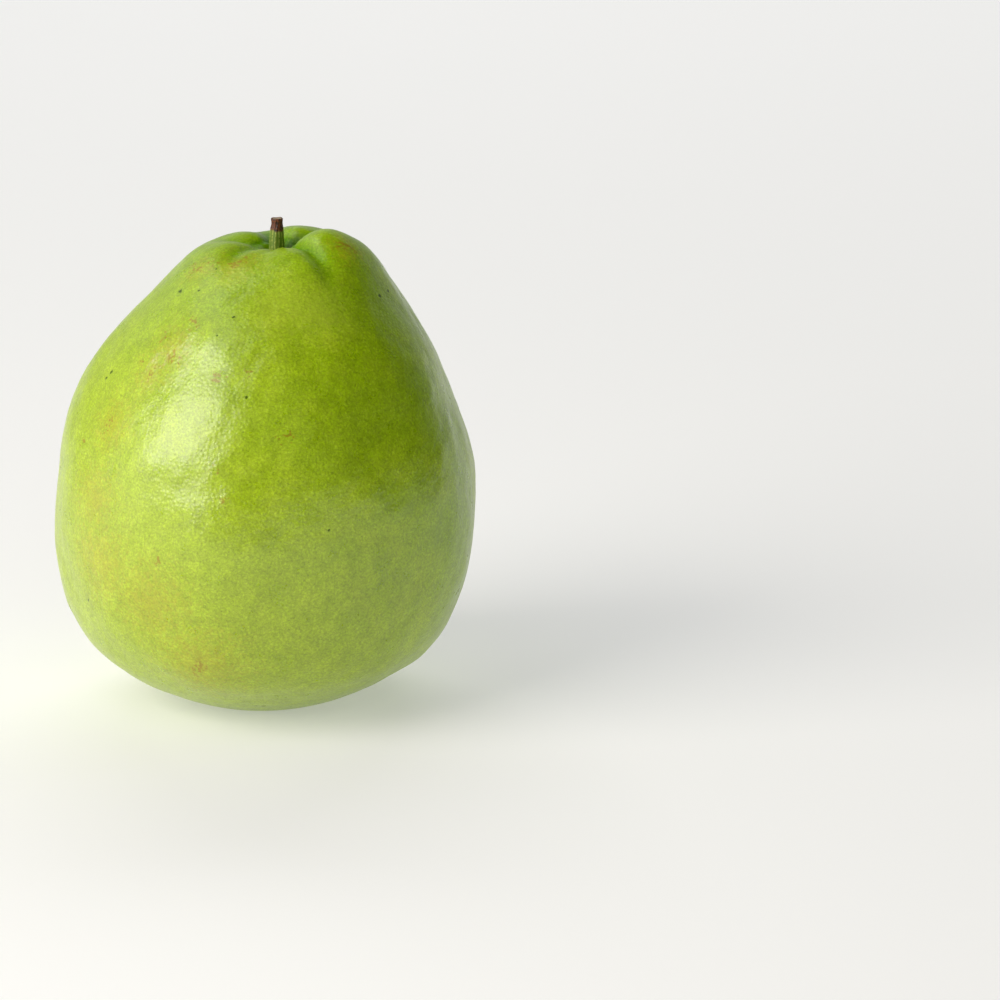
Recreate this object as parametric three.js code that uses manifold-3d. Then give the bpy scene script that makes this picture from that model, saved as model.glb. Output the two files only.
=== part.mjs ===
// A whole guava as picked: a broad, ripe-green fruit that stands on its blossom end, with the short cut
// stem in the puckered dimple on top and the dried calyx in the basin underneath.
// Millimetres, +Z up. The origin is on the table, under the middle of the fruit.
// An azimuth is in degrees: 0 faces -Y, 90 faces +X.

import * as THREE from "three";
import { NURBSCurve } from "three/addons/curves/NURBSCurve.js";
import { mergeVertices } from "three/addons/utils/BufferGeometryUtils.js";
import Module from "manifold-3d";

const wasm = await Module();
wasm.setup();

// ---------------------------------------------------------------- driving dimensions

// The fruit's outline, from the blossom end up to the stem, as radius and height over the table.
const basinDepth = 7; // the hollow round the calyx
const footInner = 11; // the flat ring that the fruit stands on
const footOuter = 14;
const rimRadius = 9; // the crest of the lobes round the stem
const dimpleFloor = 99.5;
const socketRadius = 2.2; // the plain hole that the stem stands in
const socketDepth = 3;
const rimOffset = 4.0; // the stem end lies this far towards +X of the belly's middle
const leanFrom = 12; // heights between which the fruit leans over to that side
const leanTo = 92;

// The side is one smooth curve that starts and ends at the outer two of these points and is drawn
// towards each of the others in turn.
const sidePulls = [
  [footOuter, 0],
  [15.6, 0],
  [18, 0], // so the skin leaves the foot level
  [45.85, 12.6], // the round underside
  [50.6, 46.4], // the belly
  [46.1, 72.2],
  [34.5, 91.1], // the flank's lean inwards
  [20.75, 106.35], // the shoulder
  [9.5, 109.5], // the lobes
  [3.6, 108.3],
  [socketRadius, 104.9],
  [socketRadius, dimpleFloor],
];

// Creases that run out of the dimple: how deep and wide they are at the rim, how much wider they grow
// for each millimetre down the flank, how far down they reach, and how they curl on the way.
const creases = [
  { azimuth: 41, depth: 1.8, halfWidth: 1.5, spread: 0.14, reach: 26, curl: -0.35 },
  { azimuth: 114, depth: 1.2, halfWidth: 2.6, spread: 0.25, reach: 18, curl: 0 },
  { azimuth: 194, depth: 2.0, halfWidth: 2.8, spread: 0.3, reach: 16, curl: 0 },
  { azimuth: 257, depth: 1.3, halfWidth: 2.5, spread: 0.3, reach: 13, curl: -1.2 },
  { azimuth: 307, depth: 1.1, halfWidth: 2.2, spread: 0.22, reach: 17, curl: 1.5 },
  { azimuth: 345, depth: 0.25, halfWidth: 3.0, spread: 0.35, reach: 16, curl: 0.2 },
];
const puckers = { count: 9, depth: 0.3, phase: 20 }; // the fine folds beside the stem

// Broad bulges (+) and flats (-), by azimuth and height, with their half spans. Over the dimple they grow
// to their full rise at the rim, or at a radius of their own.
const swellings = [
  { azimuth: 350, height: 108, rise: -1.6, span: 50, tall: 9 }, // the low front of the rim
  { azimuth: 78, height: 109, rise: 2.75, span: 36, tall: 7.5, crest: 13 }, // the three tall lobes behind it
  { azimuth: 150, height: 108, rise: 1.1, span: 36, tall: 9 },
  { azimuth: 215, height: 107, rise: 0.6, span: 40, tall: 9 },
  { azimuth: 270, height: 103, rise: -0.8, span: 48, tall: 12 },
  { azimuth: 84, height: 97, rise: -0.6, span: 36, tall: 8 }, // the leaner right flank
  { azimuth: 90, height: 76, rise: -3.25, span: 46, tall: 19 },
  { azimuth: 270, height: 68, rise: 1.15, span: 40, tall: 16 },
  { azimuth: 300, height: 86, rise: 0.6, span: 30, tall: 22 },
  { azimuth: 20, height: 88, rise: 0.6, span: 28, tall: 18 },
  { azimuth: 345, height: 58, rise: 0.6, span: 34, tall: 24 },
  { azimuth: 318, height: 20, rise: -0.5, span: 40, tall: 16 },
  { azimuth: 180, height: 62, rise: -1.2, span: 40, tall: 26 },
];
const flankRibs = { count: 5, rise: 0.45, phase: 75 }; // the low ribs over the five chambers
const waviness = { count: 7, rise: 0.12, length: 26 }; // slow unevenness all over

// The stem, from its root in the socket to the cut end.
const stemGap = 0.35; // all round the root
const stemRootRadius = 1.85; // up to where it leaves the dimple
const stemGreenRadius = 1.66; // halfway up the green part
const stemJointRadius = 1.6; // the swollen joint under the dry end
const stemNeckRadius = 1.3;
const stemEndRadius = 1.4;
const stemTop = 113.3;
const stemDryLength = 2.9; // the brown end above the green part
const stemRibs = { count: 5, rise: 0.1 };
const stemBend = [0.2, -0.3]; // how far the cut end leans off the root

// The calyx: a dry ring with five sepals and the stub of the style.
const calyxGap = 0.35; // under the fruit
const calyxRadius = 4.4;
const sepalCount = 5;
const sepalLength = 5.4;
const sepalHalfWidth = 2.3;
const sepalThickness = 0.75;
const styleRadius = 0.6;
const styleLength = 2.4;

// How finely each form is faceted.
const fruitSegments = 96;
const fruitRings = { basin: 7, foot: 1, side: 44, socket: 1 };
const stemSegments = 20;
const stemRings = 16;
const sepalSteps = 7;

// ---------------------------------------------------------------- helpers

const radians = THREE.MathUtils.degToRad;
const smoothstep = THREE.MathUtils.smoothstep;

// The signed difference of two azimuths, from -180 to 180.
function turnBetween(a, b) {
  return THREE.MathUtils.euclideanModulo(a - b + 180, 360) - 180;
}

// A closed geometry from rings of points, each ring as many points as the next, capped by one point
// at each end. Faces point out where the rings climb and their points run anticlockwise from above.
function ringedGeometry(lowPole, rings, highPole) {
  const n = rings[0].length;
  const points = [lowPole, ...rings.flat(), highPole];
  const high = points.length - 1;
  const index = [];
  for (let j = 0; j < n; j++) {
    const k = (j + 1) % n;
    index.push(0, 1 + k, 1 + j);
    for (let i = 0; i + 1 < rings.length; i++) {
      const a = 1 + i * n;
      index.push(a + j, a + k, a + n + k, a + j, a + n + k, a + n + j);
    }
    index.push(high, high - n + j, high - n + k);
  }
  const geometry = new THREE.BufferGeometry().setFromPoints(points);
  geometry.setIndex(index);
  geometry.computeVertexNormals();
  return geometry;
}

function solidOf(geometry) {
  const bare = geometry.clone();
  bare.deleteAttribute("normal");
  bare.deleteAttribute("uv");
  const merged = mergeVertices(bare, 1e-4);
  return new wasm.Manifold(
    new wasm.Mesh({
      numProp: 3,
      vertProperties: merged.attributes.position.array,
      triVerts: new Uint32Array(merged.index.array),
    }),
  );
}

function geometryOf(solid) {
  const mesh = solid.getMesh();
  const geometry = new THREE.BufferGeometry();
  geometry.setAttribute("position", new THREE.BufferAttribute(mesh.vertProperties, 3));
  geometry.setIndex(new THREE.BufferAttribute(mesh.triVerts, 1));
  geometry.computeVertexNormals();
  return geometry;
}

function namedMesh(name, geometry, look) {
  const mesh = new THREE.Mesh(geometry, new THREE.MeshStandardMaterial(look));
  mesh.name = name;
  return mesh;
}

// ---------------------------------------------------------------- the fruit

// The outline's stretches, in (radius, height), from the basin's middle up and over into the socket.
function outlineStretches() {
  const v = (radius, height) => new THREE.Vector3(radius, height, 0);
  const pulls = sidePulls.map(([radius, height]) => v(radius, height));
  const spans = pulls.length - 3;
  const knots = pulls.map((_, i) => THREE.MathUtils.clamp(i - 3, 0, spans));
  knots.push(spans, spans, spans, spans);
  return {
    basin: new THREE.CubicBezierCurve3(
      v(0, basinDepth), v(0.72 * footInner, basinDepth), v(0.88 * footInner, 0), v(footInner, 0),
    ),
    foot: new THREE.LineCurve3(v(footInner, 0), v(footOuter, 0)),
    side: new NURBSCurve(3, knots, pulls),
    socket: new THREE.LineCurve3(v(socketRadius, dimpleFloor), v(socketRadius, dimpleFloor - socketDepth)),
  };
}

// The outline as a list of rings: its point, the outward normal in that plane, and the way along the
// skin from the rim's crest, positive down the flank and negative into the dimple.
function outlineRings() {
  const rings = [];
  let way = 0;
  for (const [stretch, curve] of Object.entries(outlineStretches())) {
    const steps = fruitRings[stretch];
    const last = stretch === "socket" ? steps : steps - 1;
    for (let i = 0; i <= last; i++) {
      const point = curve.getPoint(i / steps);
      const tangent = curve.getTangent(i / steps);
      if (rings.length) way += point.distanceTo(rings.at(-1).point);
      rings.push({ point, normal: new THREE.Vector2(tangent.y, -tangent.x), way, stretch });
    }
  }
  const crest = rings.reduce((highest, ring) => (ring.point.y > highest.point.y ? ring : highest));
  return rings.map((ring) => ({ ...ring, fromRim: crest.way - ring.way }));
}

// How far a crease draws the skin in: a rounded V across it, which fades out down the flank and
// towards the stem.
function creaseDepth(azimuth, radius, fromRim) {
  const down = Math.max(0, fromRim);
  const nearStem = smoothstep(radius, socketRadius, 0.55 * rimRadius);
  return creases.reduce((sum, c) => {
    const across = radians(turnBetween(azimuth, c.azimuth + c.curl * down)) * radius;
    const valley = Math.exp(1 - Math.hypot(1, (1.7 * across) / (c.halfWidth + c.spread * down)));
    return sum + c.depth * valley * (1 - smoothstep(down, 0, c.reach)) * nearStem;
  }, 0);
}

// The fine folds round the stem, which fade out towards it and over the rim.
function puckerDepth(azimuth, radius) {
  const fromStem = smoothstep(radius, socketRadius, 0.5 * rimRadius);
  const inDimple = fromStem * (1 - smoothstep(radius, 0.6 * rimRadius, 1.3 * rimRadius));
  const fold = Math.abs(Math.sin(radians((puckers.count * azimuth) / 2 + puckers.phase)));
  return puckers.depth * (1 - fold) * inDimple;
}

function swellingRise(azimuth, radius, height) {
  return swellings.reduce((sum, s) => {
    const across = turnBetween(azimuth, s.azimuth) / s.span;
    const up = (height - s.height) / s.tall;
    const fromStem = smoothstep(radius, socketRadius, s.crest ?? rimRadius);
    return sum + s.rise * Math.exp(-across * across - up * up) * fromStem;
  }, 0);
}

// Slow waves in directions that turn by the golden angle, so that they never line up.
function wavinessRise(x, y, z) {
  const golden = 2.39996;
  let sum = 0;
  for (let k = 1; k <= waviness.count; k++) {
    const level = 1 - (2 * k - 1) / waviness.count;
    const flat = Math.sqrt(1 - level * level);
    const along = x * flat * Math.cos(golden * k) + y * flat * Math.sin(golden * k) + z * level;
    sum += Math.sin((2 * Math.PI * along) / waviness.length + k * k);
  }
  return waviness.rise * sum;
}

// A point of the skin: the outline's point, moved along its normal by the creases, the ribs and the
// unevenness, which all spare the foot, the basin and the socket.
function skinPoint({ point, normal, fromRim, stretch }, azimuth) {
  const radius = point.x;
  const height = point.y;
  const turn = radians(azimuth - 90);
  const ribWindow = smoothstep(height, 12, 50) * (1 - smoothstep(height, 88, 106));
  const ripples =
    flankRibs.rise * ribWindow * Math.cos(radians(flankRibs.count * azimuth + flankRibs.phase)) +
    wavinessRise(radius * Math.cos(turn), radius * Math.sin(turn), height);
  const unevenness =
    swellingRise(azimuth, radius, height) + ripples * smoothstep(radius, socketRadius, rimRadius);
  const folds = creaseDepth(azimuth, radius, fromRim) + puckerDepth(azimuth, radius);
  const rise = stretch === "side" && height > 0 ? smoothstep(height, 0, 14) * unevenness - folds : 0;
  const r = radius + rise * normal.x;
  const offset = stretch === "basin" ? 0 : rimOffset * smoothstep(height, leanFrom, leanTo);
  return new THREE.Vector3(
    r * Math.cos(turn) + offset,
    r * Math.sin(turn),
    Math.max(0, height + rise * normal.y),
  );
}

function fruitGeometry() {
  const rings = outlineRings();
  const azimuths = Array.from({ length: fruitSegments }, (_, j) => (j * 360) / fruitSegments);
  const floor = rings.at(-1).point.y;
  return ringedGeometry(
    new THREE.Vector3(0, 0, basinDepth),
    rings.slice(1).map((ring) => azimuths.map((azimuth) => skinPoint(ring, azimuth))),
    new THREE.Vector3(rimOffset, 0, floor),
  );
}

// ---------------------------------------------------------------- the stem

// A ribbed, slightly bent peg, widest at its root, with a neck between its joint and the hollowed cut end.
function stemGeometry() {
  const root = dimpleFloor - socketDepth + stemGap;
  const joint = stemTop - stemDryLength;
  const outline = new THREE.SplineCurve([
    new THREE.Vector2(stemRootRadius, root),
    new THREE.Vector2(stemRootRadius, dimpleFloor + 5),
    new THREE.Vector2(stemGreenRadius, joint - 2.4),
    new THREE.Vector2(stemJointRadius, joint),
    new THREE.Vector2(stemNeckRadius, joint + 1.5),
    new THREE.Vector2(stemEndRadius, stemTop - 0.5),
    new THREE.Vector2(stemEndRadius - 0.12, stemTop),
  ]);
  const ringAt = (radius, height) => {
    const up = (height - root) / (stemTop - root);
    return Array.from({ length: stemSegments }, (_, j) => {
      const turn = (2 * Math.PI * j) / stemSegments;
      const r = radius + stemRibs.rise * smoothstep(up, 0.2, 0.35) * Math.cos(stemRibs.count * turn);
      return new THREE.Vector3(
        rimOffset + stemBend[0] * up * up + r * Math.cos(turn),
        stemBend[1] * up * up + r * Math.sin(turn),
        height,
      );
    });
  };
  const rings = outline.getPoints(stemRings).map((p) => ringAt(p.x, p.y));
  const pithHeight = stemTop - 0.35;
  rings.push(ringAt(0.7 * stemEndRadius, pithHeight));
  return ringedGeometry(
    new THREE.Vector3(rimOffset, 0, root),
    rings,
    new THREE.Vector3(rimOffset + stemBend[0], stemBend[1], pithHeight),
  );
}

// ---------------------------------------------------------------- the calyx

// The height of the basin's surface over the table at a radius.
function basinHeight(radius) {
  const curve = outlineStretches().basin;
  let low = 0;
  let high = 1;
  for (let i = 0; i < 30; i++) {
    const middle = (low + high) / 2;
    if (curve.getPoint(middle).x < radius) low = middle;
    else high = middle;
  }
  return curve.getPoint(low).y;
}

// A shallow cup whose back follows the basin, with a raised rim and the style's stub in its middle.
function calyxCup() {
  const steps = 5;
  const back = Array.from({ length: steps + 1 }, (_, i) => {
    const radius = (calyxRadius * i) / steps;
    return new THREE.Vector2(radius, basinHeight(radius) - calyxGap);
  });
  const edge = back.at(-1);
  const inside = edge.y - 0.9;
  const face = [
    new THREE.Vector2(calyxRadius + 0.1, edge.y - 0.9),
    new THREE.Vector2(calyxRadius - 0.4, edge.y - 1.7),
    new THREE.Vector2(calyxRadius - 1.1, edge.y - 1.6),
    new THREE.Vector2(calyxRadius - 1.7, inside + 0.2),
    new THREE.Vector2(styleRadius + 0.7, inside + 0.3),
    new THREE.Vector2(styleRadius, inside),
    new THREE.Vector2(0.8 * styleRadius, inside + 0.3 - styleLength),
    new THREE.Vector2(0, inside + 0.1 - styleLength),
  ];
  return new THREE.LatheGeometry([...face.reverse(), ...back.reverse()], 30).rotateX(Math.PI / 2);
}

// One sepal: a pointed, arched blade that starts inside the ring and spreads along the basin's wall.
function sepalGeometry(azimuth, share) {
  const turn = radians(azimuth - 90);
  const outward = new THREE.Vector3(Math.cos(turn), Math.sin(turn), 0);
  const sideways = new THREE.Vector3(-Math.sin(turn), Math.cos(turn), 0);
  const start = calyxRadius - 1.4;
  const length = sepalLength * share;
  const rings = [];
  for (let i = 0; i <= sepalSteps; i++) {
    const along = i / sepalSteps;
    const radius = start + length * along * (1 - 0.22 * along);
    const halfWidth = sepalHalfWidth * (1 + 1.1 * along) * Math.max(0.02, 1 - along) ** 0.7;
    const ring = [];
    for (const [across, side] of [[-1, 0], [-0.5, -1], [0.5, -1], [1, 0], [0.5, 1], [-0.5, 1]]) {
      const cupped = 0.5 * (1 - across * across) * Math.sin(Math.PI * along);
      const back = basinHeight(radius) - calyxGap - sepalThickness / 2 - 0.15 - 0.35 * along;
      const height = Math.max(1.1, back - 0.3 * across * across + 0.2 * cupped);
      ring.push(
        outward.clone().multiplyScalar(radius)
          .addScaledVector(sideways, across * halfWidth)
          .setZ(height + (side * sepalThickness) / 2),
      );
    }
    rings.push(ring);
  }
  const middle = (ring) => ring.reduce((sum, p) => sum.add(p), new THREE.Vector3()).divideScalar(ring.length);
  return ringedGeometry(middle(rings[0]), rings, middle(rings.at(-1)));
}

function calyxGeometry() {
  let solid = solidOf(calyxCup());
  for (let i = 0; i < sepalCount; i++) {
    const azimuth = (360 * i) / sepalCount + 14 + 9 * Math.sin(2.3 * i);
    solid = solid.add(solidOf(sepalGeometry(azimuth, 1 - 0.08 * Math.cos(1.7 * i))));
  }
  return geometryOf(solid);
}

// ---------------------------------------------------------------- the part

const skinLook = { color: 0x9fbf3a, roughness: 0.42, metalness: 0 };
const stemLook = { color: 0x7d7a2e, roughness: 0.7, metalness: 0 };
const calyxLook = { color: 0x5a4226, roughness: 0.85, metalness: 0 };

const guava = new THREE.Group();
const fruit = namedMesh("fruit", fruitGeometry(), skinLook);
guava.add(fruit, namedMesh("stem", stemGeometry(), stemLook), namedMesh("calyx", calyxGeometry(), calyxLook));

// The fruit is a little lopsided, so it is moved to stand with the middle of its girth over the origin.
const middle = new THREE.Box3().setFromObject(fruit).getCenter(new THREE.Vector3());
guava.position.set(-middle.x, -middle.y, 0);

const part = new THREE.Group();
part.add(guava);

export default part;
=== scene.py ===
"""A whole guava as picked: the skin, the short cut stalk in its dimple and the dried calyx underneath."""

import math

import bpy
import numpy as np
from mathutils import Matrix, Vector


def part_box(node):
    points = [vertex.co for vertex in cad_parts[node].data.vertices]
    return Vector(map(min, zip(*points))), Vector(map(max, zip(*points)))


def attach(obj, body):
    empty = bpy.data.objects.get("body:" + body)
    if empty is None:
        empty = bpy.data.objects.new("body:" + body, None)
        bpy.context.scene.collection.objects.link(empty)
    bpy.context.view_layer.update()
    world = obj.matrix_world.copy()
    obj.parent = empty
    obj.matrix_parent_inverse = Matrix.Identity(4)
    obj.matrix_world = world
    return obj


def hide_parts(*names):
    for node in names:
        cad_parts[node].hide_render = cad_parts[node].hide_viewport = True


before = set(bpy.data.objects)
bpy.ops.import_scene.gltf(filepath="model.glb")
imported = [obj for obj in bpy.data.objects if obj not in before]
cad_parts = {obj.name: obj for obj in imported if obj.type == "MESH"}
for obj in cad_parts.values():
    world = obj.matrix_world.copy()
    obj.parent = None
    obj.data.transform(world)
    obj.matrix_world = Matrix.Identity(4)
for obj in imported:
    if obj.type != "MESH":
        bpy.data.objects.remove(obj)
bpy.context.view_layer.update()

# ---------------------------------------------------------------- sizes, in millimetres

MM = 0.001  # a millimetre in metres

# The fruit's outline. An azimuth is in degrees: 0 faces -Y, 90 faces +X.
BASIN_DEPTH = 7.0  # the hollow round the calyx
FOOT_INNER = 11.0  # the flat ring that the fruit stands on
FOOT_OUTER = 14.0
RIM_RADIUS = 9.0  # the crest of the lobes round the stalk
SOCKET_RADIUS = 2.2  # the hole that the stalk stands in
DIMPLE_FLOOR = 99.5
RIM_OFFSET = 4.0  # the stem end lies this far towards +X
LEAN_HEIGHTS = (12.0, 92.0)  # between these the fruit leans over to that side

# The side as (radius, height): one smooth curve from the foot up over the lobes to the dimple's floor,
# drawn towards each of these points in turn.
SIDE_PULLS = [
    (FOOT_OUTER, 0.0), (15.6, 0.0), (18.0, 0.0), (45.85, 12.6), (50.6, 46.4), (46.1, 72.2), (34.5, 91.1),
    (20.75, 106.35), (9.5, 109.5), (3.6, 108.3), (SOCKET_RADIUS, 104.9), (SOCKET_RADIUS, DIMPLE_FLOOR),
]

# Creases out of the dimple: azimuth, depth, half width, spread per mm, reach, curl per mm.
CREASES = [
    (41, 1.8, 1.5, 0.14, 26, -0.35),
    (114, 1.2, 2.6, 0.25, 18, 0.0),
    (194, 2.0, 2.8, 0.30, 16, 0.0),
    (257, 1.3, 2.5, 0.30, 13, -1.2),
    (307, 1.1, 2.2, 0.22, 17, 1.5),
    (345, 0.25, 3.0, 0.35, 16, 0.2),
]
PUCKERS = (9, 0.3, 20)  # how many, how deep, and their phase in degrees

# Broad bulges (+) and flats (-): azimuth, height, rise, span in degrees, half height, and the radius at
# which they reach their full rise.
SWELLINGS = [
    (350, 108, -1.6, 50, 9, 9), (78, 109, 2.75, 36, 7.5, 13), (150, 108, 1.1, 36, 9, 9),
    (215, 107, 0.6, 40, 9, 9), (270, 103, -0.8, 48, 12, 9), (84, 97, -0.6, 36, 8, 9),
    (90, 76, -3.25, 46, 19, 9), (270, 68, 1.15, 40, 16, 9), (300, 86, 0.6, 30, 22, 9),
    (20, 88, 0.6, 28, 18, 9), (345, 58, 0.6, 34, 24, 9), (318, 20, -0.5, 40, 16, 9),
    (180, 62, -1.2, 40, 26, 9),
]
RIBS = (5, 0.45, 75)  # how many, how high, and their phase in degrees
RIBS_GROW = (12, 50)  # the heights between which the ribs come up
RIBS_FADE = (88, 106)  # and those between which they go
WAVINESS = (7, 0.12, 26.0)  # how many waves, how high, how long
GOLDEN_ANGLE = 2.39996  # in radians
FOOT_FADE = (0, 14)  # the swellings, ribs and waves come up between these heights

# The skin's small relief: the shortest and longest wave, the rise, and the seed. The whole is sunk, so
# that it stays within the solid.
PEBBLES = [((6, 14), 0.055, 3), ((2.6, 4.6), 0.017, 4)]
RELIEF_SINK = 0.20
BASIN_FOLDS = (7, 0.55)  # how many folds run up the basin's wall, and how high

# Marks on the skin, as azimuth, height and radius: dark specks, flecks of russet, tan blush, pale bloom.
# The four pale patches near the stem end on the front are painted sheen.
SPECKS = [
    (304, 99.8, 0.55), (317, 101.0, 0.45), (343, 96.6, 0.32), (338, 92.5, 0.32), (353, 81.0, 0.42),
    (295.2, 80.8, 0.5), (294.6, 79.4, 0.45), (303, 29.6, 0.4), (63, 98.5, 0.55), (74, 98.5, 0.4),
    (292, 108.4, 0.4), (315, 105.6, 0.3), (18, 52, 0.35), (133, 70, 0.5), (168, 88, 0.4), (205, 41, 0.5),
    (228, 79, 0.4), (96, 33, 0.4), (252, 60, 0.35), (181, 22, 0.5), (148, 101, 0.4),
]
RUSSET = [
    (325, 94.6, 0.8), (315, 90.5, 0.6), (322, 87.7, 1.0), (315, 83.3, 0.7), (310, 85.5, 0.5),
    (342, 84.8, 0.8), (352, 86.2, 0.6), (300, 104.3, 0.8), (307, 106.2, 0.6), (324, 107.5, 0.9),
    (327, 108.2, 0.6), (5, 73.2, 0.8), (343, 18.2, 1.1), (305, 69.9, 0.7), (306, 72.4, 0.6),
    (296, 65.8, 0.5), (61, 107.0, 0.7), (67, 106.2, 0.6), (346, 65.8, 0.6), (349, 59.0, 0.6),
    (333, 44.3, 0.6), (122, 84, 1.1), (158, 96, 1.2), (171, 55, 0.9), (214, 90, 1.4), (219, 88, 0.9),
    (240, 33, 1.0), (262, 92, 0.9),
]
BLUSH = [
    (327, 107.6, 2.6), (302, 104.7, 2.2), (320, 89.1, 3.0), (315, 84.0, 2.6), (65, 106.5, 2.4),
    (307, 54.7, 4.0), (311, 40.8, 5.0), (329, 33.9, 5.0), (307, 71.6, 3.2), (343, 19.0, 5.5),
    (190, 40, 8.0), (150, 80, 6.0), (235, 70, 7.0),
]
# Pale bloom; the first four patches, near the stem end on the front, are painted sheen.
PALE_BLOOM_AND_SHEEN = [
    (337, 101.3, 2.0), (6, 99.8, 3.0), (21, 97.9, 2.4), (330, 105.2, 1.4), (170, 78, 3.0), (228, 66, 3.5),
]
MARK_REACH = 6  # each mark fades out at this many times its radius

# The stalk's outline as (radius, height), from the root up and over the sunken cut face, drawn towards
# each of these points in turn.
STALK_PULLS = [
    (1.6, 96.85), (1.75, 98.0), (1.82, 101.0), (1.86, 104.5), (1.80, 106.5), (1.62, 108.8), (1.60, 110.3),
    (1.48, 111.1), (1.28, 111.9), (1.32, 112.5), (1.40, 113.0), (1.30, 113.25), (1.05, 113.2), (0.8, 113.05),
    (0.2, 113.05),
]
STALK_BEND = (0.2, -0.3)  # how far the cut end leans off the root
STALK_TOP = 113.3
STALK_JOINT = 110.4  # the brown, dried end starts here
COLLAR = [(1.95, -0.2), (1.6, 0.0), (1.2, -0.5)]  # round the stalk: radius, height over the dimple's floor

# The calyx: the dried ring, five thin sepals, the withered threads and the style's stub.
CALYX_GAP = 0.35  # between its back and the basin's surface
CALYX_RADIUS = 4.4
CALYX_FACE = [  # the ring's face as (radius, height under its edge), from its middle outwards
    (0.5, 0.5), (1.4, 0.55), (2.3, 0.7), (2.7, 1.2), (3.1, 1.65), (3.6, 1.8), (4.0, 1.6), (4.4, 1.1),
    (4.5, 0.6), (4.45, 0.2),
]
CALYX_LOWEST = 2.35  # nothing of it hangs lower over the table than this
SEPALS = [  # azimuth, length, half width, curl
    (14, 4.5, 2.0, 0.9), (94, 4.2, 2.2, 0.4), (153, 4.4, 1.9, 1.1), (230, 4.1, 2.1, 0.6),
    (302, 4.5, 2.0, 0.8),
]
THREADS = 46
THREADS_LOWEST = 2.45  # and no thread's middle line hangs lower than this
THREAD_RADIUS = 0.11
STYLE_RADIUS = 0.45

# ---------------------------------------------------------------- helpers


def linear(hex_colour):
    """An sRGB hex colour as linear red, green, blue and alpha."""
    parts = [int(hex_colour[i : i + 2], 16) / 255 for i in (1, 3, 5)]
    return [c / 12.92 if c <= 0.04045 else ((c + 0.055) / 1.055) ** 2.4 for c in parts] + [1.0]


def first_output(made):
    """The first output of a node that its settings leave in use."""
    return next(o for o in made.outputs if o.enabled)


def feed(tree, made, inputs):
    """Gives each input of a node, by its name or number, a value, a link from a socket, or a link from the
    first output of another node."""
    for name, value in inputs.items():
        if isinstance(name, int):
            entry = made.inputs[name]
        else:
            entry = next(i for i in made.inputs if i.name == name and i.enabled)
        if isinstance(value, bpy.types.Node):
            value = first_output(value)
        if isinstance(value, bpy.types.NodeSocket):
            tree.links.new(value, entry)
        else:
            entry.default_value = value


def node(tree, kind, inputs=None, **settings):
    """Adds a shader node of a kind with its settings and feeds its inputs."""
    made = tree.nodes.new("ShaderNode" + kind)
    for name, value in settings.items():
        setattr(made, name, value)
    feed(tree, made, inputs or {})
    return made


def smooth_step(x, low, high):
    """0 below low, 1 above high, and 3t^2 - 2t^3 between them."""
    t = np.clip((x - low) / (high - low), 0, 1)
    return t * t * (3 - 2 * t)


def turn_between(a, b):
    """The signed difference of two azimuths, from -180 to 180 degrees."""
    return (a - b + 180) % 360 - 180


def closed_piece(name, shells):
    """A smooth mesh of closed shells, in millimetres. A shell is an array of rings (ring, point on it,
    xyz) and a point that closes it at each end; bands of four-sided faces join neighbouring rings."""
    points, faces, first = [], [], 0
    for rings, low_pole, high_pole in shells:
        count, around, _ = rings.shape
        points.append(np.concatenate([rings.reshape(-1, 3), [low_pole], [high_pole]]) * MM)
        here = np.arange(count * around).reshape(count, around) + first
        after = np.roll(here, -1, axis=1)
        poles = np.full((2, around), [[first + count * around], [first + count * around + 1]])
        faces += np.stack([here[:-1], after[:-1], after[1:], here[1:]], axis=-1).reshape(-1, 4).tolist()
        faces += np.stack([poles[0], after[0], here[0]], axis=-1).tolist()
        faces += np.stack([poles[1], here[-1], after[-1]], axis=-1).tolist()
        first += count * around + 2
    mesh = bpy.data.meshes.new(name)
    mesh.from_pydata(np.concatenate(points).tolist(), [], faces)
    mesh.polygons.foreach_set("use_smooth", np.ones(len(mesh.polygons), dtype=bool))
    piece = bpy.data.objects.new(name, mesh)
    bpy.context.scene.collection.objects.link(piece)
    return piece


def capped(rings):
    """A shell of rings that is closed at the middle of its first and of its last ring."""
    return rings, rings[0].mean(axis=0), rings[-1].mean(axis=0)


def write_attribute(piece, name, values):
    """Keeps one number for each vertex of a one-shell piece, for its material to read; each pole takes
    the mean of the ring beside it."""
    flat = np.concatenate([values.reshape(-1), [values[0].mean()], [values[-1].mean()]])
    piece.data.attributes.new(name, "FLOAT", "POINT").data.foreach_set("value", flat.astype(np.float32))


def smooth_curve(pulls, count):
    """A clamped, uniform cubic B-spline: each point is the weighted mean of four neighbouring pulls."""
    pulls = np.array(pulls)
    spans = len(pulls) - 3
    knots = np.clip(np.arange(len(pulls) + 4) - 3, 0, spans)
    at = np.linspace(0, spans - 1e-9, count)[:, None]
    weight = ((knots[:-1] <= at) & (at < knots[1:])).astype(float)
    for degree in (1, 2, 3):
        left, right = knots[: -degree - 1], knots[degree + 1 :]
        span_in = np.maximum(knots[degree:-1] - left, 1e-9)
        span_out = np.maximum(right - knots[1 : len(right) + 1], 1e-9)
        weight = (at - left) / span_in * weight[:, :-1] + (right - at) / span_out * weight[:, 1:]
    return weight @ pulls


def evenly_spaced(curve, count, closeness=None):
    """The same curve with points at equal steps of its length, or of its length times a closeness."""
    steps = np.hypot(*np.diff(curve, axis=0).T)
    if closeness is not None:
        steps = steps * closeness[1:]
    way = np.concatenate([[0], np.cumsum(steps)])
    at = np.linspace(0, way[-1], count)
    return np.stack([np.interp(at, way, curve[:, i]) for i in range(2)], axis=-1)


def azimuths(count):
    """Evenly spread azimuths all the way round, as one row."""
    return np.linspace(0, 360, count, endpoint=False)[None, :]


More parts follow.
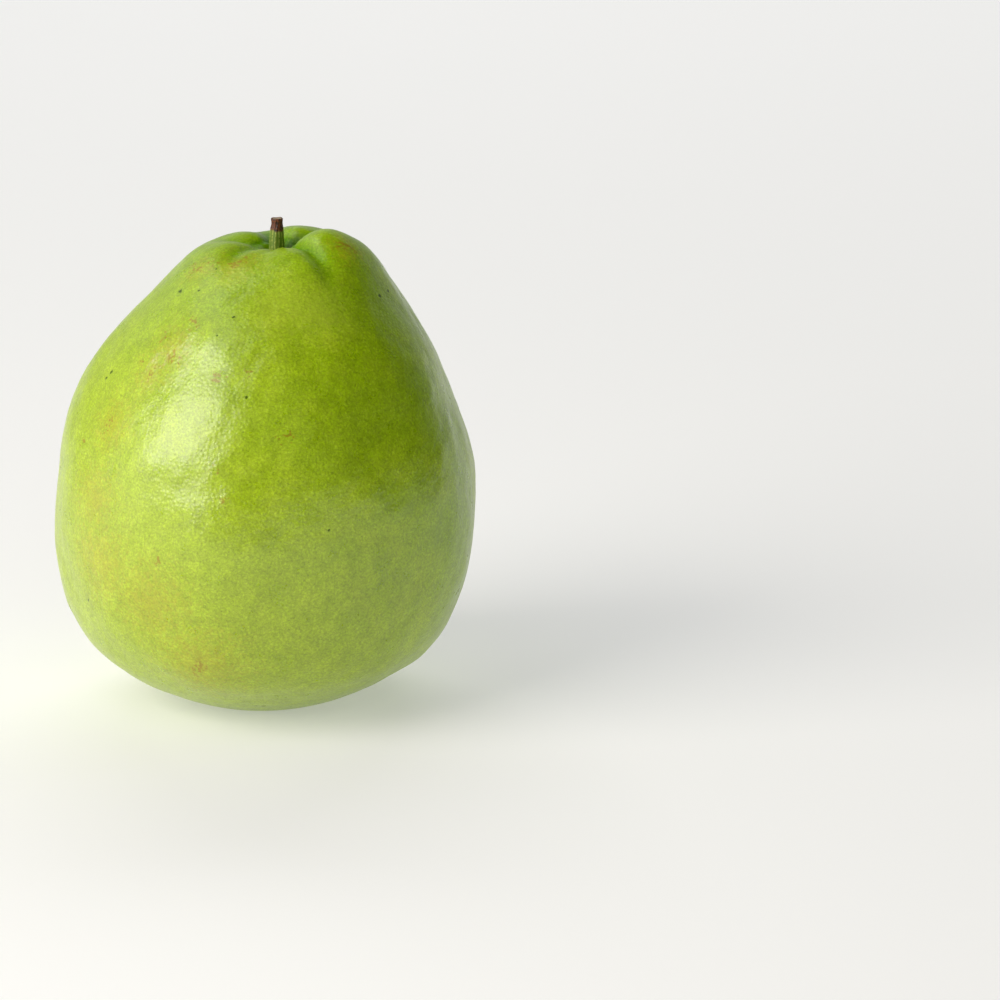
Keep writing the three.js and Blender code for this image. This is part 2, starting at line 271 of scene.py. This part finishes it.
def turned(radius, azimuth, height, centre):
    """Points at a radius and azimuth round an upright axis through a centre."""
    turn = np.radians(azimuth - 90)
    xyz = np.broadcast_arrays(radius * np.cos(turn), radius * np.sin(turn), height)
    return np.stack(xyz, axis=-1) + centre


# ---------------------------------------------------------------- the skin


def basin_curve(count):
    """The hollow underneath: a cubic Bezier from its middle to the inner edge of the foot."""
    t = np.linspace(0, 1, count)[:, None]
    weights = ((1 - t) ** 3, 3 * t * (1 - t) ** 2, 3 * t * t * (1 - t), t**3)
    pulls = ((0, BASIN_DEPTH), (0.72 * FOOT_INNER, BASIN_DEPTH), (0.88 * FOOT_INNER, 0), (FOOT_INNER, 0))
    return sum(weight * np.array(pull) for weight, pull in zip(weights, pulls))


def crease_depth(azimuth, radius, down):
    """How far the creases draw the skin in: depth * exp(1 - sqrt(1 + (1.7 across / half width)^2)), a
    rounded V that widens and fades on its way down the flank, and fades towards the stem."""
    near_stem = smooth_step(radius, SOCKET_RADIUS, 0.55 * RIM_RADIUS)
    total = 0
    for at, depth, half_width, spread, reach, curl in CREASES:
        across = np.radians(turn_between(azimuth, at + curl * down)) * radius
        valley = np.exp(1 - np.hypot(1, 1.7 * across / (half_width + spread * down)))
        total = total + depth * valley * (1 - smooth_step(down, 0, reach)) * near_stem
    return total


def pucker_depth(azimuth, radius):
    """The fine folds round the stem: depth * (1 - |sin|) of half the azimuth times their count."""
    count, depth, phase = PUCKERS
    fold = np.abs(np.sin(np.radians(count * azimuth / 2 + phase)))
    from_stem = smooth_step(radius, SOCKET_RADIUS, 0.5 * RIM_RADIUS)
    return depth * (1 - fold) * from_stem * (1 - smooth_step(radius, 0.6 * RIM_RADIUS, 1.3 * RIM_RADIUS))


def unevenness(azimuth, radius, height):
    """The sum of the swellings, rise * exp(-(turn / span)^2 - (climb / tall)^2), of five low ribs, and of
    slow sine waves whose directions turn by the golden angle."""
    total = 0
    for at, level, rise, span, tall, crest in SWELLINGS:
        bell = np.exp(-(turn_between(azimuth, at) / span) ** 2 - ((height - level) / tall) ** 2)
        total = total + rise * bell * smooth_step(radius, SOCKET_RADIUS, crest)
    count, rise, phase = RIBS
    away = smooth_step(radius, SOCKET_RADIUS, RIM_RADIUS)
    window = smooth_step(height, *RIBS_GROW) * (1 - smooth_step(height, *RIBS_FADE))
    total = total + rise * away * window * np.cos(np.radians(count * azimuth + phase))
    count, rise, length = WAVINESS
    turn = np.radians(azimuth - 90)
    x, y = radius * np.cos(turn), radius * np.sin(turn)
    for k in range(1, count + 1):
        level = 1 - (2 * k - 1) / count
        flat = math.sqrt(1 - level * level)
        spin = GOLDEN_ANGLE * k
        along = x * flat * math.cos(spin) + y * flat * math.sin(spin) + height * level
        total = total + rise * away * np.sin(2 * np.pi * along / length + k * k)
    return total * smooth_step(height, *FOOT_FADE)


def pebbling(points, lengths, rise, seed, waves=56):
    """Small relief as a sum of sine waves in random directions, of wavelengths between two lengths."""
    rng = np.random.default_rng(seed)
    ways = rng.normal(size=(3, waves))
    ways /= np.linalg.norm(ways, axis=0)
    ways *= 2 * np.pi / rng.uniform(*lengths, size=waves)
    phases = rng.uniform(0, 2 * np.pi, size=waves)
    return rise * np.sin(points @ ways + phases).sum(axis=-1) / math.sqrt(waves / 2)


def basin_folds(azimuth, radius):
    """Shallow folds that run up the basin's wall towards the calyx: their height times the fifth power of
    a cosine of the azimuth, unevenly spread, which fades at the foot and beside the calyx."""
    count, rise = BASIN_FOLDS
    turn = np.radians(azimuth)
    fold = (0.5 + 0.5 * np.cos(count * turn + 0.9 * np.sin(2 * turn + 0.6))) ** 5
    return rise * fold * smooth_step(radius, 3.5, 6.5) * smooth_step(-radius, -10.5, -7.5)


def skin_rings():
    """The fruit's skin: the outline turned about the axis, each point moved along the outline's normal by
    the creases, the unevenness and the pebbling, and the whole leaning over to +X with its height. Also
    returns each point's depth in the creases plus the painted shade inside the dimple, the azimuths, and
    each ring's height on the outline."""
    basin = evenly_spaced(basin_curve(count=60), count=20)[1:]
    foot = np.array([(FOOT_INNER + 1, 0), (FOOT_INNER + 2, 0)])
    fine = smooth_curve(SIDE_PULLS, count=3000)
    crown = smooth_step(-fine[:, 0], -24, -8) * (fine[:, 1] > 60)
    side = evenly_spaced(fine, count=212, closeness=1 + 1.2 * crown)  # the rings lie closest on the crown
    outline = np.concatenate([basin, foot, side])
    on_side = (np.arange(len(outline)) > len(basin) + len(foot)).astype(float)[:, None]

    tangent = np.gradient(outline, axis=0)
    tangent /= np.linalg.norm(tangent, axis=1)[:, None]
    way = np.concatenate([[0], np.cumsum(np.hypot(*np.diff(outline, axis=0).T))])
    down = np.maximum(0, way[np.argmax(outline[:, 1])] - way)[:, None]
    radius, height = outline[:, :1], outline[:, 1:]
    azimuth = azimuths(count=400)

    crease_and_shade = crease_depth(azimuth, radius, down) + pucker_depth(azimuth, radius)
    plain = turned(radius, azimuth, height, (0, 0, 0))
    relief = sum(pebbling(plain, *grade) for grade in PEBBLES) - RELIEF_SINK
    relief *= smooth_step(height, 0, 6) * smooth_step(radius, SOCKET_RADIUS, 0.8 * RIM_RADIUS)
    rise = on_side * (unevenness(azimuth, radius, height) - crease_and_shade + relief)

    # Painted shade: the dimple's inside is added to the creases' darkening, most of all on its right,
    # the side away from the light.
    inside = smooth_step(-radius, -6.5, -3.0) * (height > 90)
    crease_and_shade = crease_and_shade + 1.4 * inside * (1 + 0.4 * np.cos(np.radians(azimuth - 100)))

    rings = turned(radius + rise * tangent[:, 1:], azimuth, 0, (0, 0, 0))
    rings[..., 0] += RIM_OFFSET * smooth_step(height, *LEAN_HEIGHTS) * on_side
    rings[..., 2] = np.maximum(0, height - rise * tangent[:, :1])
    rings[..., 2] += basin_folds(azimuth, radius) * (height < 10)
    return rings, crease_and_shade, azimuth[0], height[:, 0]


def nearness(points, azimuth, level, marks):
    """How near each point is to a mark's middle: 1 on it, falling evenly to 0 at the mark's reach."""
    total = np.zeros(points.shape[:2])
    for at, height, size in marks:
        ring = np.argmin(np.abs(level - height))
        spoke = round(at / 360 * len(azimuth)) % len(azimuth)
        distance = np.linalg.norm(points - points[ring, spoke], axis=-1)
        total = np.maximum(total, 1 - distance / (MARK_REACH * size))
    return total


def make_skin():
    """The skin's mesh with its collar, which closes in round the stalk, moved so that its middle is that
    of the part's fruit. Also returns that move."""
    rings, crease_and_shade, azimuth, level = skin_rings()
    low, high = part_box("fruit")
    own = (rings.min(axis=(0, 1)) + rings.max(axis=(0, 1)))[:2] / 2
    shift = np.append((np.array(low[:2]) + np.array(high[:2])) / 2 / MM - own, 0)
    axis = shift + (RIM_OFFSET, 0, 0)
    outline = np.array(COLLAR) + (0, DIMPLE_FLOOR)
    collar = turned(outline[:, :1], azimuth[None, :], outline[:, 1:], axis)
    low_pole = shift + (0, 0, BASIN_DEPTH)
    high_pole = axis + (0, 0, DIMPLE_FLOOR - 1)
    shell = (np.concatenate([rings + shift, collar]), low_pole, high_pole)
    skin = closed_piece("skin", [shell])
    on_collar = np.zeros((len(COLLAR), len(azimuth)))
    write_attribute(skin, "crease_and_shade", np.concatenate([crease_and_shade, on_collar]))
    for name, marks in (("bloom_and_sheen", PALE_BLOOM_AND_SHEEN), ("blush", BLUSH), ("russet", RUSSET), ("speck", SPECKS)):
        near = nearness(rings, azimuth, level, marks) * (1 - smooth_step(crease_and_shade, 0.4, 1.6))
        write_attribute(skin, name, np.concatenate([near, on_collar]))
    return skin, shift


skin, shift = make_skin()
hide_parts("fruit")
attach(skin, "root")

# ---------------------------------------------------------------- the stalk


def make_stalk():
    """The stalk: its outline turned about the axis, raised by five ribs and by fine fibres, which are
    powers of slowly twisting cosines, furrowed deeper where it has dried, and bent with its height."""
    outline = evenly_spaced(smooth_curve(STALK_PULLS, count=800), count=150)
    radius, height = outline[:, :1], outline[:, 1:]
    turn = np.radians(azimuths(count=112))
    border = height + 0.18 * np.sin(2 * turn + 0.7) + 0.10 * np.sin(7 * turn + 2.1)
    dry = smooth_step(border, STALK_JOINT - 0.2, STALK_JOINT + 0.3)
    ribs = (0.05 - 0.03 * dry) * np.cos(5 * turn + 0.12 * height)
    fibres = (0.5 + 0.5 * np.cos(13 * turn + 0.25 * height + 1.2 * np.sin(0.9 * height + 2 * turn))) ** 2
    furrows = np.sin(9 * turn + 2.2 * np.sin(1.1 * height)) + np.sin(16 * turn - 1.7 * height + 1.0)
    on_side = smooth_step(height, 98, 101) * smooth_step(radius, 0.95, 1.25)
    rise = on_side * (ribs + (1 - dry) * (0.07 * fibres - 0.04) + dry * (0.035 * furrows - 0.04))
    up = (height - height[0]) / (STALK_TOP - height[0])
    rings = turned(radius + rise, np.degrees(turn), height, shift + (RIM_OFFSET, 0, 0))
    rings[..., 0] += STALK_BEND[0] * up**2
    rings[..., 1] += STALK_BEND[1] * up**2
    uneven_cut = 0.06 * smooth_step(height, 112.8, 113.2) * np.sin(3 * turn + 1)
    rings[..., 2] = np.minimum(rings[..., 2] + uneven_cut, STALK_TOP)
    past_edge = np.arange(len(outline))[:, None] > np.argmax(height)
    cut = past_edge * (1 - smooth_step(radius, 0.85, 1.15))
    stalk = closed_piece("stalk", [capped(rings)])
    write_attribute(stalk, "dry", dry)
    write_attribute(stalk, "fibre", fibres)
    write_attribute(stalk, "cut", np.broadcast_to(cut, dry.shape))
    return stalk


stalk = make_stalk()
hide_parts("stem")
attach(stalk, "root")

# ---------------------------------------------------------------- the calyx

BASIN_OUTLINE = basin_curve(count=400)


def basin_height(radius):
    """The height of the basin's surface at a radius."""
    return np.interp(radius, BASIN_OUTLINE[:, 0], BASIN_OUTLINE[:, 1])


def calyx_ring():
    """The dried cup: its back follows the basin and its face is a rough ring round a sunken disc, both
    turned about the axis and roughened by sines of the azimuth."""
    edge = basin_height(CALYX_RADIUS) - CALYX_GAP
    face = [(radius, edge - under) for radius, under in CALYX_FACE]
    back = [(radius, basin_height(radius) - CALYX_GAP) for radius in np.linspace(CALYX_RADIUS, 0.3, 8)]
    outline = evenly_spaced(smooth_curve(face + back, count=600), count=60)
    radius, height = outline[:, :1], outline[:, 1:]
    turn = np.radians(azimuths(count=160))
    folds = 0.10 * np.sin(9 * turn + 1.3) + 0.08 * np.sin(17 * turn + 3 * radius)
    folds = folds + 0.05 * np.sin(31 * turn + 1.9)
    on_face = smooth_step(basin_height(radius) - CALYX_GAP - height, 0.25, 0.9)
    rings = turned(radius * (1 + 0.03 * np.sin(3 * turn)), np.degrees(turn), 0, shift)
    rings[..., 2] = height + on_face * folds * smooth_step(radius, 0.6, 2.2)
    return capped(rings)


def sepal(azimuth, length, half_width, curl, seed):
    """One sepal: thin rounded cross sections along a path from inside the ring up the basin's wall, pointed
    at the tip, with a wavy, ragged edge, cupped along its middle and curled down at the tip."""
    rng = np.random.default_rng(seed)
    along = np.linspace(0, 1, 40)[:, None]
    turn = np.radians(azimuths(count=44))
    across, through = np.cos(turn), np.sin(turn)
    width = half_width * (1 + 0.9 * along) * np.maximum(0.03, 1 - along) ** 0.75
    phase = rng.uniform(0, 2 * np.pi, 6)
    ragged = 0.07 * np.sin(21 * along + phase[0] + 2 * across) + 0.05 * np.sin(37 * along + phase[1])
    width = width * (1 + ragged * across**2)
    thick = 0.13 + 0.12 * (1 - along)
    out = 3.0 + length * along * (1 - 0.15 * along)
    veins = 0.05 * np.sin(9 * across + phase[2]) + 0.08 * np.sin(5 * along * np.pi + phase[3] + 2 * across)
    cup = -0.35 * (1 - across**2) * np.sin(np.pi * along) + veins * (1 - 0.5 * along)
    drop = 0.75 + 0.35 * along + curl * along**2.2
    sideways = across * width
    reach = np.hypot(out, sideways)
    height = basin_height(reach) - CALYX_GAP - drop + cup + through * thick
    bearing = azimuth + np.degrees(np.arctan2(sideways, out))
    rings = turned(reach, bearing, 0, shift)
    rings[..., 2] = np.clip(height, CALYX_LOWEST, basin_height(reach) - CALYX_GAP)
    return capped(rings)


def thread(path, radius):
    """A round thread along a path of points, with its cross sections square to it."""
    way = np.gradient(path, axis=0)
    way /= np.linalg.norm(way, axis=1)[:, None]
    first = np.cross(way, (0.3, 1.0, 0.1))
    first /= np.linalg.norm(first, axis=1)[:, None]
    second = np.cross(way, first)
    turn = np.radians(azimuths(count=8))[..., None]
    size = radius[:, None, None]
    rings = path[:, None] + size * (first[:, None] * np.cos(turn) + second[:, None] * np.sin(turn))
    return rings, path[0], path[-1]


def withered_threads():
    """The stamens' dried threads: each starts in the disc, leans outwards and droops over the ring."""
    rng = np.random.default_rng(11)
    t = np.linspace(0, 1, 9)
    base = basin_height(CALYX_RADIUS) - CALYX_GAP
    shells = []
    for k in range(THREADS):
        start = rng.uniform(1.2, 2.9)
        azimuth = 360 * k / THREADS + rng.uniform(-9, 9)
        reach = start + rng.uniform(0.3, 1.9) * t**1.4
        drop = 0.5 + rng.uniform(1.0, 2.3) * (t - 0.45 * t**2)
        sway = azimuth + rng.uniform(-26, 26) * t + rng.uniform(-8, 8) * np.sin(2 * np.pi * t)
        path = turned(reach, sway, 0, shift)
        path[:, 2] = np.maximum(base - drop, THREADS_LOWEST)
        shells.append(thread(path, THREAD_RADIUS * (1.15 - 0.5 * t)))
    return shells


def style_stub():
    """The style: a short, slightly bent thread, thicker than the rest, with a blunt end."""
    t = np.linspace(0, 1, 14)
    base = basin_height(CALYX_RADIUS) - CALYX_GAP
    path = np.stack([0.35 * t**2, -0.2 * t**2, base - 0.45 - 2.5 * t], axis=-1) + shift
    path[:, 2] = np.maximum(path[:, 2], CALYX_LOWEST)
    return thread(path, STYLE_RADIUS * (1.25 - 0.5 * t) * (1 - smooth_step(t, 0.93, 1.1)))


calyx_pieces = [
    closed_piece("calyx_ring", [calyx_ring()]),
    closed_piece("sepals", [sepal(*shape, seed) for seed, shape in enumerate(SEPALS)]),
    closed_piece("stamen_threads", withered_threads() + [style_stub()]),
]
for piece in calyx_pieces:
    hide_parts("calyx")
    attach(piece, "root")

# ---------------------------------------------------------------- materials

PER_MM = 1000  # a pattern's scale for one repeat each millimetre
SUNNY_SIDE = (-0.74, -0.30, -0.60)  # the side that had the sun: to the left and low down
SOFT = {"interpolation_type": "SMOOTHSTEP"}  # a map range that eases in and out
RGBA = {"data_type": "RGBA"}  # a mix of colours

# How each kind of mark looks: its attribute, its raggedness, where it starts and where it is full, how
# strong it gets, and its colour.
MARK_LOOKS = [
    # pale bloom, the front patches near the stem end painted sheen
    ("bloom_and_sheen", 1.0, 0.60, 1.50, 0.28, "#cfdf50"),
    ("blush", 1.0, 1.00, 1.60, 0.26, "#bb8f24"),
    ("russet", 2.0, 1.78, 2.08, 0.62, "#906a02"),
    ("speck", 0.3, 0.90, 1.06, 0.88, "#304a00"),
]


def new_material(name):
    """A new material, its node tree and its Principled shader."""
    material = bpy.data.materials.new(name)
    material.use_nodes = True
    return material, material.node_tree, material.node_tree.nodes["Principled BSDF"]


# Guava rind: a waxy green skin over pale flesh. The wax gives a soft, broken gloss, the flesh lets a
# little light through, and tiny oil glands give the fine pale speckle.
def guava_rind():
    material, tree, shader = new_material("guava_rind")
    place = node(tree, "TexCoord").outputs["Object"]

    # Green and yellow-green patches 20 mm across, broken up by a mottle of 5 mm.
    broad = node(tree, "TexNoise", {"Vector": place, "Scale": PER_MM / 20, "Detail": 2.0, "Roughness": 0.55})
    patches = node(tree, "MapRange", {"Value": broad, "From Min": 0.35, "From Max": 0.65}, **SOFT)
    fine = node(tree, "TexNoise", {"Vector": place, "Scale": PER_MM / 5, "Detail": 4.0, "Roughness": 0.65})
    mottle = node(tree, "MapRange", {"Value": fine, "From Min": 0.3, "From Max": 0.7})
    amount = node(tree, "Math", {0: patches, 1: mottle}, operation="MULTIPLY")
    green = node(tree, "Mix", {"Factor": amount, "A": linear("#8aab00"), "B": linear("#a0bb0a")}, **RGBA)

    # The side that had the sun is riper and yellower.
    yellow = node(tree, "Mix", {"Factor": mottle, "A": linear("#9ab117"), "B": linear("#a6bb28")}, **RGBA)
    side = node(tree, "VectorMath", {0: place, 1: SUNNY_SIDE}, operation="DOT_PRODUCT").outputs["Value"]
    ripe = node(tree, "MapRange", {"Value": side, "From Min": -85 * MM, "From Max": 20 * MM}, **SOFT)
    colour = node(tree, "Mix", {"Factor": ripe, "A": green, "B": yellow}, **RGBA)

    # The stem end stays greener.
    climb = node(tree, "SeparateXYZ", {0: place}).outputs["Z"]
    crown = node(tree, "MapRange", {
        "Value": climb, "From Min": 96 * MM, "From Max": 108 * MM, "To Max": 0.16,
    })
    colour = node(tree, "Mix", {"Factor": crown, "A": colour, "B": linear("#70ac04")}, **RGBA)
    # The creases and the dimple are darkened towards deep green: partly their own deeper green, partly
    # painted shade, which is strongest on the dimple's right.
    crease_and_shade = node(tree, "Attribute", attribute_name="crease_and_shade").outputs["Fac"]
    shade = node(tree, "MapRange", {"Value": crease_and_shade, "From Min": 0.15, "From Max": 2.2, "To Max": 0.85})
    colour = node(tree, "Mix", {"Factor": shade, "A": colour, "B": linear("#477c00")}, **RGBA)

    # Pale oil glands 0.9 mm apart.
    glands = node(tree, "TexVoronoi", {"Vector": place, "Scale": PER_MM / 0.9})
    dots = node(tree, "MapRange", {
        "Value": glands, "From Min": 0.15, "From Max": 0.5, "To Min": 0.12, "To Max": 0.0,
    }, **SOFT)
    colour = node(tree, "Mix", {"Factor": dots, "A": colour, "B": linear("#c6d350")}, **RGBA)

    # A strong grain of 0.55 mm and a weak cloudiness of 3 mm make the skin lighter and darker.
    grain = node(tree, "TexNoise", {"Vector": place, "Scale": PER_MM / 0.55, "Detail": 3.0, "Roughness": 0.9})
    grainy = node(tree, "MapRange", {
        "Value": grain, "From Min": 0.3, "From Max": 0.7, "To Min": 0.60, "To Max": 1.40,
    })
    cloud = node(tree, "TexNoise", {"Vector": place, "Scale": PER_MM / 3, "Detail": 3.0, "Roughness": 0.6})
    cloudy = node(tree, "MapRange", {
        "Value": cloud, "From Min": 0.3, "From Max": 0.7, "To Min": 0.89, "To Max": 1.11,
    })
    both = node(tree, "Math", {0: grainy, 1: cloudy}, operation="MULTIPLY")
    tint = node(tree, "CombineColor", {0: both, 1: both, 2: both})
    colour = node(tree, "Mix", {"Factor": 1.0, "A": colour, "B": tint}, blend_type="MULTIPLY", **RGBA)

    # The marks: each is its nearness plus its raggedness times a noise of 0.9 mm.
    ragged = node(tree, "TexNoise", {"Vector": place, "Scale": PER_MM / 0.9, "Detail": 1.0})
    for name, raggedness, start, full, most, mark_colour in MARK_LOOKS:
        near = node(tree, "Attribute", attribute_name=name).outputs["Fac"]
        raised = node(tree, "Math", {0: ragged, 1: raggedness, 2: near}, operation="MULTIPLY_ADD")
        mark = node(tree, "MapRange", {
            "Value": raised, "From Min": start, "From Max": full, "To Max": most,
        }, **SOFT)
        colour = node(tree, "Mix", {"Factor": mark, "A": colour, "B": linear(mark_colour)}, **RGBA)
    speck = mark  # the last of them

    # Low swellings of 2.8 mm and the domes of the glands break up the gloss, which the mottle makes
    # sharper and softer. Specks and creases have less of it.
    swell = node(tree, "TexNoise", {"Vector": place, "Scale": PER_MM / 2.8, "Detail": 0.0})
    domes = node(tree, "MapRange", {"Value": glands, "From Max": 0.75, "To Min": 1.0, "To Max": 0.0}, **SOFT)
    low_bump = node(tree, "Bump", {"Height": swell, "Strength": 1.0, "Distance": 0.09 * MM})
    bump = node(tree, "Bump", {
        "Height": domes, "Strength": 1.0, "Distance": 0.035 * MM, "Normal": low_bump,
    })
    wax = node(tree, "MapRange", {"Value": mottle, "To Min": 0.265, "To Max": 0.335})
    dull = node(tree, "Math", {0: speck, 1: 1.5, 2: crease_and_shade}, operation="MULTIPLY_ADD")
    gloss = node(tree, "MapRange", {
        "Value": dull, "From Min": 0.3, "From Max": 1.6, "To Min": 0.5, "To Max": 0.12,
    })

    feed(tree, shader, {
        "Base Color": colour, "Normal": bump, "Roughness": wax, "Specular IOR Level": gloss, "IOR": 1.68,
        "Subsurface Weight": 0.15, "Subsurface Radius": (1.0, 0.8, 0.15), "Subsurface Scale": 3 * MM,
    })
    return material


# Guava stalk: a green, fibrous twig whose cut end has dried brown. Pale dotted ridges run up the green
# part, and the cut face shows tan wood inside a dark bark edge.
def guava_stalk():
    material, tree, shader = new_material("guava_stalk")
    place = node(tree, "TexCoord").outputs["Object"]
    flecks = node(tree, "TexNoise", {"Vector": place, "Scale": PER_MM / 0.6, "Detail": 3.0, "Roughness": 0.7})
    patchy = node(tree, "MapRange", {"Value": flecks, "From Min": 0.42, "From Max": 0.58})
    fibre = node(tree, "Attribute", attribute_name="fibre").outputs["Fac"]
    pale = node(tree, "Math", {0: fibre, 1: patchy}, operation="MULTIPLY")
    green = node(tree, "Mix", {"Factor": pale, "A": linear("#5b7512"), "B": linear("#a9b352")}, **RGBA)
    brown = node(tree, "Mix", {"Factor": patchy, "A": linear("#221006"), "B": linear("#6e3716")}, **RGBA)
    dry = node(tree, "Attribute", attribute_name="dry").outputs["Fac"]
    bark = node(tree, "Mix", {"Factor": dry, "A": green, "B": brown}, **RGBA)
    cut = node(tree, "Attribute", attribute_name="cut").outputs["Fac"]
    colour = node(tree, "Mix", {"Factor": cut, "A": bark, "B": linear("#9a8a70")}, **RGBA)
    bump = node(tree, "Bump", {"Height": flecks, "Strength": 1.0, "Distance": 0.12 * MM})
    feed(tree, shader, {"Base Color": colour, "Normal": bump, "Roughness": 0.55})
    return material


# Dried calyx: papery brown leaf tissue, matt and blotched, paler where it is worn thin.
def dried_calyx():
    material, tree, shader = new_material("dried_calyx")
    place = node(tree, "TexCoord").outputs["Object"]
    blots = node(tree, "TexNoise", {"Vector": place, "Scale": PER_MM / 1.1, "Detail": 4.0, "Roughness": 0.7})
    worn = node(tree, "MapRange", {"Value": blots, "From Min": 0.35, "From Max": 0.68})
    colour = node(tree, "Mix", {"Factor": worn, "A": linear("#3b2712"), "B": linear("#8a6a42")}, **RGBA)
    bump = node(tree, "Bump", {"Height": blots, "Strength": 1.0, "Distance": 0.2 * MM})
    feed(tree, shader, {"Base Color": colour, "Normal": bump, "Roughness": 0.85})
    return material


skin.data.materials.append(guava_rind())
stalk.data.materials.append(guava_stalk())
dried = dried_calyx()
for piece in calyx_pieces:
    piece.data.materials.append(dried)

# ---------------------------------------------------------------- stage, light and camera

FLOOR_REACH = 6  # in metres, from the middle to each edge
CAMERA_ELEVATION = 15.5  # in degrees
CAMERA_DISTANCE = 1.2  # in metres
CAMERA_AIM = (0.05519, 0, 0.04623)  # in metres, before the fruit's own move
VIEW_WIDTH = 0.2322  # in metres, at the aim
SENSOR_WIDTH = 36  # in millimetres
LAMP_AIM = (0, 0, 0.06)  # in metres: every lamp faces the middle of the fruit


# Floor paper: matt white card, which glows a little so that it stays pale in the shade.
def floor_paper():
    material, tree, shader = new_material("floor_paper")
    feed(tree, shader, {
        "Base Color": linear("#cfcfcd"), "Roughness": 0.9, "Emission Color": linear("#ffffff"),
        "Emission Strength": 0.33,
    })
    return material


floor_mesh = bpy.data.meshes.new("floor")
corners = [(x * FLOOR_REACH, y * FLOOR_REACH, 0) for x, y in ((-1, -1), (1, -1), (1, 1), (-1, 1))]
floor_mesh.from_pydata(corners, [], [(0, 1, 2, 3)])
floor = bpy.data.objects.new("floor", floor_mesh)
bpy.context.scene.collection.objects.link(floor)
floor.data.materials.append(floor_paper())


def softbox(name, azimuth, elevation, distance, width, height, watts, colour, glossy=True, diffuse=True):
    """A rectangular lamp that faces the fruit from an azimuth (0 in front, 90 at +X), an elevation and a
    distance. It shows in the gloss, lights the matt colours, or does both. Lengths are in metres."""
    lamp = bpy.data.lights.new(name, "AREA")
    lamp.shape = "RECTANGLE"
    lamp.size, lamp.size_y = width, height
    lamp.energy = watts
    lamp.color = linear(colour)[:3]
    holder = bpy.data.objects.new(name, lamp)
    a, e = math.radians(azimuth), math.radians(elevation)
    way = Vector((math.sin(a) * math.cos(e), -math.cos(a) * math.cos(e), math.sin(e)))
    holder.location = Vector(LAMP_AIM) + way * distance
    holder.rotation_euler = way.to_track_quat("Z", "Y").to_euler()
    holder.visible_glossy = glossy
    holder.visible_diffuse = diffuse
    bpy.context.scene.collection.objects.link(holder)


# The key light with two dim cards that widen its highlight, and the fills.
softbox("key_left", -56, 27.5, 1.0, 0.82, 0.70, 11.2, "#fffaf0")
softbox("card_left", -84, 11, 1.0, 0.5, 0.6, 1.3, "#ffffff", diffuse=False)
softbox("card_high", -118, 60, 1.0, 0.5, 0.4, 0.75, "#ffffff", diffuse=False)
softbox("top_left", -52, 60, 1.0, 0.60, 0.40, 1.0, "#ffffff")
softbox("back_right", 108, 19, 1.2, 0.2, 0.5, 0.9, "#ffffff", glossy=False)
softbox("fill_front", 15, 30, 1.5, 0.6, 0.6, 2.2, "#ffffff", glossy=False)
softbox("back_high", 180, 38, 1.8, 1.6, 0.6, 16, "#ffffff", glossy=False)

# The room: almost dark, with a pale backdrop that rises behind, a low pale band to the left, and a round
# glow high up behind on the left. Each glow is given by its direction, the cosines, to within 2%, of the
# angles off it at which it starts and is full, the climbs between which it fades upwards, and its strength.
ALMOST_DARK = 0.015
NO_FADE = (2.0, 3.0)  # a climb is never over 1
GLOWS = [
    ((-0.2, 1.0, 0.0), (0.1, 0.7), (0.40, 0.66), 0.38),
    ((-1.0, 0.1, 0.0), (0.0, 0.9), (0.05, 0.30), 0.06),
    ((-0.62, 0.47, 0.63), (0.90, 0.98), NO_FADE, 0.50),
]
world = bpy.data.worlds.new("studio")
world.use_nodes = True
room = world.node_tree
way_out = node(room, "TexCoord").outputs["Generated"]
climb = node(room, "SeparateXYZ", {0: way_out}).outputs["Z"]
strength = ALMOST_DARK
for towards, (start, full), (fade, gone), most in GLOWS:
    facing = node(room, "VectorMath", {0: way_out, 1: towards}, operation="DOT_PRODUCT").outputs["Value"]
    sideways = node(room, "MapRange", {"Value": facing, "From Min": start, "From Max": full}, **SOFT)
    upwards = node(room, "MapRange", {
        "Value": climb, "From Min": fade, "From Max": gone, "To Min": most, "To Max": 0.0,
    }, **SOFT)
    strength = node(room, "Math", {0: sideways, 1: upwards, 2: strength}, operation="MULTIPLY_ADD")
feed(room, room.nodes["Background"], {"Strength": strength, "Color": linear("#ffffff")})
bpy.context.scene.world = world

camera_data = bpy.data.cameras.new("camera")
camera_data.sensor_width = SENSOR_WIDTH
camera_data.lens = SENSOR_WIDTH * CAMERA_DISTANCE / VIEW_WIDTH
camera = bpy.data.objects.new("camera", camera_data)
tilt = math.radians(CAMERA_ELEVATION)
way = Vector((0, -math.cos(tilt), math.sin(tilt)))
camera.location = Vector(CAMERA_AIM) + Vector(shift) * MM + way * CAMERA_DISTANCE
camera.rotation_euler = way.to_track_quat("Z", "Y").to_euler()
bpy.context.scene.collection.objects.link(camera)
bpy.context.scene.camera = camera
bpy.context.scene.view_settings.view_transform = "Standard"
